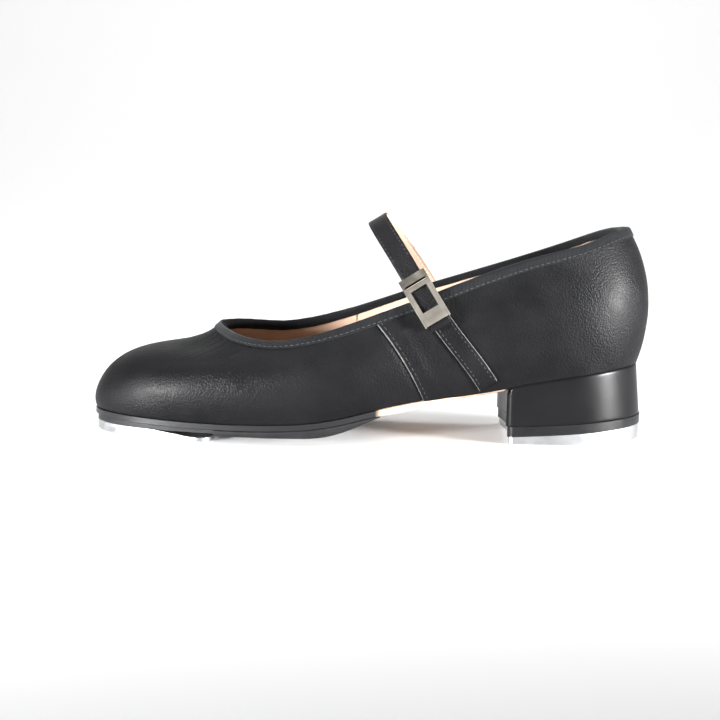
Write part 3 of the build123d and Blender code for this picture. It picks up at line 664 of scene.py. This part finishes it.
def plate(name, rings, mat, replaces, nx, ny, x0=-BEYOND, x1=BEYOND):
    """Closed plate; rings run from the upper rim round the edge to the lower rim as
    (inset, height) pairs, where height is a function of x and of the share across."""
    layers = []
    for inset, height in rings:
        end = inset if not callable(inset) else 0.0
        g = plan_grid(inset, x0 + end if x0 > -BEYOND else x0, x1 - end if x1 < BEYOND else x1, nx, ny)
        layers.append(np.stack([g[..., 0], g[..., 1], height(g[..., 0], g[..., 2])], -1))
    rows, cols = layers[0].shape[:2]
    rim = rim_of(rows, cols)
    verts = [layers[0].reshape(-1, 3)]
    rings_start = []
    total = rows * cols
    for layer in layers[1:-1]:
        verts.append(layer.reshape(-1, 3)[rim])
        rings_start.append(total)
        total += len(rim)
    last = total
    verts.append(layers[-1].reshape(-1, 3))
    faces = grid_faces(rows, cols) + grid_faces(rows, cols, last, True)
    chain = [list(rim)] + [[s + k for k in range(len(rim))] for s in rings_start] + [[last + k for k in rim]]
    for up, down in zip(chain, chain[1:]):
        for k in range(len(rim)):
            n = (k + 1) % len(rim)
            faces.append((up[k], down[k], down[n], up[n]))
    return finish_mesh(name, np.concatenate(verts), faces, [mat], "shoe", replaces)


def over_seat(k):
    return lambda x, s: seat(x) + k


def waist_inset(x):
    """How far the leather sole lies inside the feather line."""
    return -0.5 + 2.0 * smooth((x - 14) / 26) * smooth((68 - x) / 10) + 1.9 * smooth((x - 58) / 6)


def sole_edge(x):
    """Edge thickness of the leather sole: full at the forepart, shaved thin at the waist."""
    return mix(SOLE, 3.3, smooth((x + 2) / 14)) - 2.5 * smooth((x - 17) / 24)


def sole_low(x, s):
    middle = mix(SOLE, 3.1, smooth((x - 2) / 20))
    heel = smooth((x - HEEL_FRONT) / 4)
    edge = mix(sole_edge(x), 2.2, heel)
    middle = mix(middle, 2.2, heel)
    return seat(x) - mix(middle, edge, s ** 3)


def tread_low(x, s):
    """Lower face of the half sole: level under the ball, then up into the waist."""
    flat = 2.3 + 0.6 * s ** 2.5
    under = seat(x) - SOLE
    return mix(flat, under - 0.9, smooth((x + 30) / 36))


def make_bottom():
    soft = 0.35
    plate("sole_leather_plate",
          [(lambda x: waist_inset(x) + soft, over_seat(0.0)), (waist_inset, over_seat(-soft * 0.8)),
           (waist_inset, lambda x, s: sole_low(x, 1.0) + 0.25),
           (lambda x: waist_inset(x) + 0.3, lambda x, s: sole_low(x, s))],
          SOLE_LEATHER, ["leather_sole"], nx=190, ny=20)
    plate("sock_leather",
          [(4.1, lambda x, s: seat(x) + 4.5 + 0.5 * s ** 6), (3.8, lambda x, s: seat(x) + 4.6 + 0 * s),
           (3.75, over_seat(3.4)), (4.1, over_seat(3.3))],
          SOCK, ["sock_liner"], nx=130, ny=18)
    plate("half_sole",
          [(0.1, lambda x, s: seat(x) - SOLE - 0.06), (-0.3, lambda x, s: seat(x) - SOLE - 0.4),
           (-0.35, lambda x, s: tread_low(x, 1.0) + 0.7), (0.0, lambda x, s: tread_low(x, 1.0) + 0.18),
           (0.7, tread_low)],
          RUBBER, ["forepart_sole"], nx=110, ny=22, x0=-69.0, x1=3.6)


def make_lasting_margin():
    """Edge of the upper turned in under the insole."""
    u = steps(0, N, 240)[:-1]
    p, n = feather_plan(u), plan_normal(u)
    loops = []
    for inset, rise in ((3.6, 0.15), (3.6, 1.25), (10.8, 1.25), (10.8, 0.15)):
        q = p - n * inset
        q[:, 0] = np.clip(q[:, 0], -121.8, 117.8)
        loops.append(np.stack([q[:, 0], q[:, 1], seat(q[:, 0]) + rise], -1))
    count = len(u)
    verts = np.concatenate(loops)
    faces = []
    for k in range(4):
        a, b = k * count, ((k + 1) % 4) * count
        for i in range(count):
            j = (i + 1) % count
            faces.append((a + i, a + j, b + j, b + i))
    finish_mesh("lasting_margin_leather", verts, faces, [BLACK], "shoe", ["lasting_margin"])


# ------------------------------------------------------------------ heel
def resample(points, count):
    """The same line with evenly spaced points."""
    run = np.concatenate([[0], np.cumsum(np.linalg.norm(np.diff(points, axis=0), axis=-1))])
    at = np.linspace(0, run[-1], count)
    return np.stack([np.interp(at, run, column) for column in points.T], -1)


def heel_flare(x):
    return smooth((x - HEEL_FRONT) / HEEL_REACH)


def heel_loop(inset, flare):
    """D-shaped plan of the heel as one closed loop with rounded front corners and a bowed breast."""
    count, front, bow = 120, 14, 3.0
    u = steps(3.5, -3.28, count)
    p = feather_plan(u) - plan_normal(u) * inset
    p[:, 0] += flare * heel_flare(p[:, 0])
    head = HEEL_FRONT + inset
    a, b = np.array([head, p[0, 1]]), np.array([head, p[-1, 1]])
    keep = resample(p[p[:, 0] > head + 3.2], count)
    radius = 3.0
    arcs = []
    for side, corner in ((1, a), (-1, b)):
        w = steps(0, pi / 2, 8)
        cx, cy = head + radius, corner[1] + side * radius
        arcs.append(np.stack([cx - radius * np.cos(w), cy - side * radius * np.sin(w)], -1))
    t = steps(0, 1, front)[1:-1]
    start, end = arcs[1][0], arcs[0][0]
    breast = start + (end - start) * t[:, None]
    breast[:, 0] += bow * np.sin(pi * t)
    return np.concatenate([arcs[0], keep, arcs[1][::-1], breast])


def tube(name, loops, mat, replaces):
    """Closed skin over loops of equal count, of which the last is the first one again."""
    count = len(loops[0])
    verts = [p for loop in loops for p in loop]
    faces = []
    for k in range(len(loops) - 1):
        a, b = k * count, (k + 1) * count
        for i in range(count):
            j = (i + 1) % count
            faces.append((a + i, a + j, b + j, b + i))
    return finish_mesh(name, verts, faces, [mat], "shoe", replaces, sharp=50)


def lift_line(x):
    return mix(LIFT_FRONT, LIFT_BACK, (x - HEEL_FRONT) / HEEL_REACH)


def make_heel():
    """Leather wrapped round the heel, with softened lower and upper rims."""
    def rise_to(inset, share, drop=0.0):
        top = heel_loop(inset, -0.1)
        foot = lift_line(top[:, 0]) + 0.05
        front = smooth((top[:, 0] - HEEL_FRONT - 0.9) / 1.2)
        full = mix(seat(top[:, 0]) - 2.35, seat(top[:, 0]) - 0.02, front) - drop
        height = mix(foot, full, share)
        flare = 2.4 * (1 - (height - 8.4) / 26.0) - 0.1
        p = heel_loop(inset, 0.0)
        p[:, 0] += flare * heel_flare(p[:, 0])
        return np.stack([p[:, 0], p[:, 1], height], -1)
    loops = [rise_to(0.25, 0.0), rise_to(0.02, 0.014)]
    loops += [rise_to(0.0, share) for share in steps(0.06, 0.94, 14)]
    loops += [rise_to(0.03, 0.985), rise_to(0.3, 1.0), rise_to(0.85, 1.0, 0.15)]
    loops += [rise_to(0.88, share) for share in steps(0.96, 0.02, 8)] + [rise_to(0.88, 0.0)]
    loops.append(loops[0])
    tube("heel_leather", loops, HEEL_BLACK, ["heel_cover"])


# ------------------------------------------------------------------ strap
TILT = radians(32.1)
W_DIR = np.array([cos(TILT), 0, sin(TILT)])
T_DIR = np.array([-sin(TILT), 0, cos(TILT)])
STRAP_WIDTH, STRAP = 9.2, 1.8        # width and thickness
STRAP_W, ROOT_W = 53.4, 56.0         # places along W_DIR: at the buckle and at the root
ROOT_T, APEX_T, TAB = 31.4, 82.3, 1.4
NEAR_END, FAR_START = 0.25, 0.6      # shares of the strap's path where its curves meet


def strap_frame(y, t, w):
    """Point from its place across the shoe, up the strap's plane and along its width."""
    return (np.asarray(t)[..., None] * T_DIR + np.asarray(w)[..., None] * W_DIR
            + np.asarray(y)[..., None] * np.array([0, 1.0, 0]))


def wall_y(t, w, guess):
    x, _, z = strap_frame(0.0, t, w)
    u, v = on_wall(np.array([x]), np.array([z]), *guess)
    return wall_point(u, v)[0][1]


PIVOT = np.array([wall_y(ROOT_T, ROOT_W, (N - 4.6, 0.75)) + 3.4, ROOT_T])
R_FLOOR = PIVOT[0] - (wall_y(ROOT_T - 1.5, STRAP_W, (4.6, 0.75)) - 0.1 - TAB - 0.7)
R_STRAP = R_FLOOR + 0.7


def polar(radius, angle):
    return PIVOT + radius * np.stack([np.cos(np.radians(angle)), np.sin(np.radians(angle))], -1)


def bezier(p0, p1, p2, p3, k):
    k = k[:, None]
    return ((1 - k) ** 3 * np.array(p0) + 3 * k * (1 - k) ** 2 * np.array(p1)
            + 3 * k * k * (1 - k) * np.array(p2) + k ** 3 * np.array(p3))


def strap_path(s):
    """Middle line of the strap from the buckle over the foot to the root."""
    radius, leave = R_STRAP + STRAP / 2, 156.0
    start = polar(radius, leave)
    rise = np.array([sin(radians(leave)), -cos(radians(leave))])
    apex = np.array([-1.0, APEX_T - STRAP / 2])
    arc = polar(radius, mix(181.6, leave, s / NEAR_END))
    near = bezier(start, start + 10 * rise, apex - (17, 0), apex, (s - NEAR_END) / (FAR_START - NEAR_END))
    far = bezier(apex, apex + (19, 0), (PIVOT[0] + 0.9, PIVOT[1] + 24), PIVOT,
                 (s - FAR_START) / (1 - FAR_START))
    s = s[:, None]
    return np.where(s <= NEAR_END, arc, np.where(s <= FAR_START, near, far))


def strap_grid(s, across, off):
    """Grid of strap points; off is one distance from the middle line or one for each column."""
    p = strap_path(s)
    d = strap_path(np.minimum(1, s + 0.002)) - strap_path(np.maximum(0, s - 0.002))
    d = unit(d)
    bow = 0.6
    middle = (STRAP_W - bow * smooth((s - NEAR_END) / 0.3)
              + (ROOT_W - STRAP_W + bow) * smooth((s - 0.55) / 0.4))
    off = np.broadcast_to(off, (len(s), len(across)))
    y = p[:, 0][:, None] - d[:, 1][:, None] * off
    t = p[:, 1][:, None] + d[:, 0][:, None] * off
    w = middle[:, None] + across[None, :]
    return strap_frame(y, t, w)


def make_strap():
    """Outer leather and lining of the strap, with a row of stitches along both edges."""
    s = steps(0, 0.985, 200)
    half = STRAP_WIDTH / 2
    across = half * np.array([-1, -0.985, -0.94, -0.8, -0.5, 0, 0.5, 0.8, 0.94, 0.985, 1])
    drop = np.array([0.3, 0.13, 0.03, 0, 0, 0, 0, 0, 0.03, 0.13, 0.3])
    outer = strap_grid(s, across, (STRAP / 2 - drop)[None, :])
    mid_up = strap_grid(s, across, 0.03)
    slab("strap_top_leather", outer, mid_up, [BLACK], "strap", ["strap_leather"], bevel=0.0)
    mid_low = strap_grid(s, across, -0.04)
    inner = strap_grid(s, across, (-STRAP / 2 + drop)[None, :])
    slab("strap_under_leather", mid_low, inner, [TAN], "strap", ["strap_lining"], bevel=0.0)
    for side, tag in ((-1, "front"), (1, "rear")):
        line = np.array([side * (half - 1.15)])
        out_line = strap_grid(s, line, STRAP / 2)[:, 0]
        in_line = strap_grid(s, line, -STRAP / 2)[:, 0]
        up = unit(out_line - in_line)
        keep = (s > 0.27) & (s < 0.97)
        stitches("stitch_strap_" + tag, out_line[keep], up[keep], DARK_THREAD, "strap", "upper_leather",
                 radius=0.17, **FINE_STITCH)
        stitches("stitch_strap_under_" + tag, in_line[keep], -up[keep], PALE_THREAD, "strap",
                 "lining_leather", radius=0.16, **FINE_STITCH)


def tab_grid(bottom, top, w_bottom, w_top, width, guess, off):
    """Grid of a strip that lies on the wall, and the wall parameters under it."""
    a, b = cell(TAB_COLS, TAB_ROWS)
    t = mix(bottom, top, b)
    w = mix(w_bottom, w_top, smooth(b)) + (a - 0.5) * width
    p = strap_frame(np.zeros(t.shape), t, w)
    u, v = on_wall(p[..., 0], p[..., 2], *guess)
    return wall(u, v, off(a, b) if callable(off) else np.full(a.shape, off)), u, v


def tab_stitches(kind, outer, u, v, first, last):
    """The two rows of stitches along a tab."""
    for a, tag in ((0.14, "front"), (0.86, "rear")):
        i = int(round(a * TAB_COLS))
        stitches("stitch_" + kind + "_" + tag, outer[i][first:last], wall_normal(u[i], v[i])[first:last],
                 DARK_THREAD, "shoe", "upper_leather", radius=0.14, **FINE_STITCH)


def make_buckle_tab():
    """Strip below the buckle, with its two cut edges."""
    width = 2 * TAB_HALF_WIDTH

    def high(a, b):
        edge = np.minimum(a, 1 - a) * width
        return 1.25 - 0.25 * (1 - smooth(edge / 0.7))
    args = (-4.6, ROOT_T + 6.8, STRAP_W + 4.2, STRAP_W + 0.7, width, (4.3, 0.5))
    outer, u, v = tab_grid(*args, high)
    inner, _, _ = tab_grid(*args, 0.1)
    slab("buckle_tab_leather", outer, inner, [BLACK, RAW_EDGE], "shoe", ["buckle_tab"],
         edge_mat=1, bevel=0.12)
    for a, near, tag in ((0, 1, "front"), (TAB_COLS, TAB_COLS - 1, "rear")):
        lip = np.stack([outer[a], mix(outer[a], outer[near], 0.3)])
        up = wall_normal(u[a], v[a]) * 0.06
        slab("cut_edge_tab_" + tag, lip + up, lip - up * 5, [RAW_EDGE], "shoe", bevel=0.0)
    tab_stitches("tab", outer, u, v, 3, 48)


def make_root_tab():
    """Strip that holds the strap's root, sewn along its edges and across its foot."""
    def root_high(a, b):
        edge = np.minimum(np.minimum(a, 1 - a) * STRAP_WIDTH, b * 15.0)
        return mix(1.6, 2.6, smooth(b * 2.0)) - 0.3 * (1 - smooth(edge / 0.8))
    args = (ROOT_T - 16, ROOT_T - 1.1, ROOT_W, ROOT_W, STRAP_WIDTH, (N - 4.6, 0.6))
    outer, u, v = tab_grid(*args, root_high)
    inner, _, _ = tab_grid(*args, 0.1)
    slab("strap_root_leather", outer, inner, [BLACK], "shoe", ["strap_root_tab"], bevel=0.12)
    tab_stitches("root", outer, u, v, 6, 54)
    stitches("stitch_root_foot", outer[2:11, 8], wall_normal(u, v)[2:11, 8], DARK_THREAD, "shoe",
             "upper_leather", radius=0.17, **FINE_STITCH)


# ------------------------------------------------------------------ CAD pieces kept as they are
def dress(node, mat, bevel):
    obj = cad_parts[node]
    obj.data.materials.clear()
    obj.data.materials.append(mat)
    obj.data.shade_smooth()
    obj.data.set_sharp_from_angle(angle=radians(30))
    if bevel:
        mod = obj.modifiers.new("round", "BEVEL")
        mod.width, mod.segments, mod.limit_method = bevel * MM, 2, "ANGLE"
        mod.angle_limit = radians(50)


def dress_cad():
    for node, mat, bevel in (
            ("buckle_base", NICKEL, 0.25), ("buckle_lever", NICKEL, 0.25), ("buckle_pin", NICKEL, 0.05),
            ("buckle_rivets", NICKEL, 0.0), ("toe_tap", ALUMINIUM, 0.0), ("heel_tap", ALUMINIUM, 0.0),
            ("toe_tap_screws", STEEL, 0.0), ("heel_tap_screws", STEEL, 0.0), ("heel_nails", STEEL, 0.0),
            ("toe_resonator_board", BOARD, 0.0), ("heel_lift", LIFT, 0.0), ("heel_block", WOOD, 0.0),
            ("steel_shank", STEEL, 0.0), ("cork_filler", CORK, 0.0), ("insole_board", INSOLE, 0.0),
            ("toe_puff", STIFF, 0.0), ("heel_counter", STIFF, 0.0)):
        dress(node, mat, bevel)


# ------------------------------------------------------------------ studio
def area_light(name, place, aim, size, power, spread=180):
    data = bpy.data.lights.new(name, "AREA")
    data.shape, data.size, data.size_y = "RECTANGLE", size[0], size[1]
    data.energy, data.spread = power, radians(spread)
    obj = bpy.data.objects.new(name, data)
    bpy.context.scene.collection.objects.link(obj)
    obj.location = place
    obj.rotation_mode = "QUATERNION"
    obj.rotation_quaternion = (Vector(aim) - Vector(place)).to_track_quat("-Z", "Y")


def make_studio():
    """White sweep lit softly from above, with low side lights on the toe and the heel."""
    scene = bpy.context.scene
    world = bpy.data.worlds.new("studio")
    scene.world = world
    world.use_nodes = True
    world.node_tree.nodes["Background"].inputs["Color"].default_value = (1, 1, 1, 1)
    world.node_tree.nodes["Background"].inputs["Strength"].default_value = 0.12
    scene.view_settings.view_transform = "Standard"
    gap, bend_y, bend_radius, half_width = 0.0002, 1.2, 0.8, 4
    bend = [(bend_y + bend_radius * sin(w), bend_radius - gap - bend_radius * cos(w))
            for w in steps(0, pi / 2, 12)]
    side = [(-3.0, -gap)] + bend + [(bend_y + bend_radius, 3.0)]
    verts = [(x, y, z) for y, z in side for x in (-half_width, half_width)]
    faces = [(2 * i, 2 * i + 1, 2 * i + 3, 2 * i + 2) for i in range(len(side) - 1)]
    sweep_mesh = bpy.data.meshes.new("sweep")
    sweep_mesh.from_pydata(verts, [], faces)
    sweep_mesh.shade_smooth()
    sweep = bpy.data.objects.new("sweep", sweep_mesh)
    scene.collection.objects.link(sweep)
    mat, _, shader = node_material("sweep")
    shader.inputs["Base Color"].default_value = (0.93, 0.93, 0.93, 1)
    shader.inputs["Roughness"].default_value = 0.95
    shader.inputs["Specular IOR Level"].default_value = 0.0
    sweep_mesh.materials.append(mat)
    area_light("overhead", (-0.05, 0.05, 1.5), (0, -0.05, 0), (2.2, 1.5), 15.5)
    area_light("backdrop", (0, 0.5, 1.6), (0, 2.0, 0.5), (2.4, 0.6), 27)
    area_light("toe_side", (-1.00, -0.72, 0.13), (-0.08, 0, 0.12), (0.55, 0.24), 4.2, 30)
    area_light("front_card", (0.1, -1.6, 0.35), (0.02, 0, 0.06), (1.0, 0.6), 0.7)
    area_light("heel_side", (1.10, -0.42, 0.14), (0.1, 0, 0.13), (0.5, 0.26), 4.0, 30)


def make_camera():
    """Long lens a little above the outer side of the shoe, rolled by one degree."""
    pitch, roll = radians(8.50), radians(1.0)
    right, up = Vector((1, 0, 0)), Vector((0, sin(pitch), cos(pitch)))
    ahead = Vector((0, cos(pitch), -sin(pitch)))
    x_axis = right * cos(roll) + up * sin(roll)
    y_axis = up * cos(roll) - right * sin(roll)
    data = bpy.data.cameras.new("camera")
    data.sensor_width, data.lens = 36, 79.2
    data.clip_start, data.clip_end = 0.01, 20
    cam = bpy.data.objects.new("camera", data)
    bpy.context.scene.collection.objects.link(cam)
    turn = Matrix((x_axis, y_axis, -ahead)).transposed()
    cam.matrix_world = Matrix.Translation((-0.0055, -0.72, 0.14)) @ turn.to_4x4()
    bpy.context.scene.camera = cam


make_upper()
make_seam_edges()
make_inner_layers()
make_binding()
make_bottom()
make_lasting_margin()
make_heel()
make_strap()
make_buckle_tab()
make_root_tab()
dress_cad()
make_studio()
make_camera()
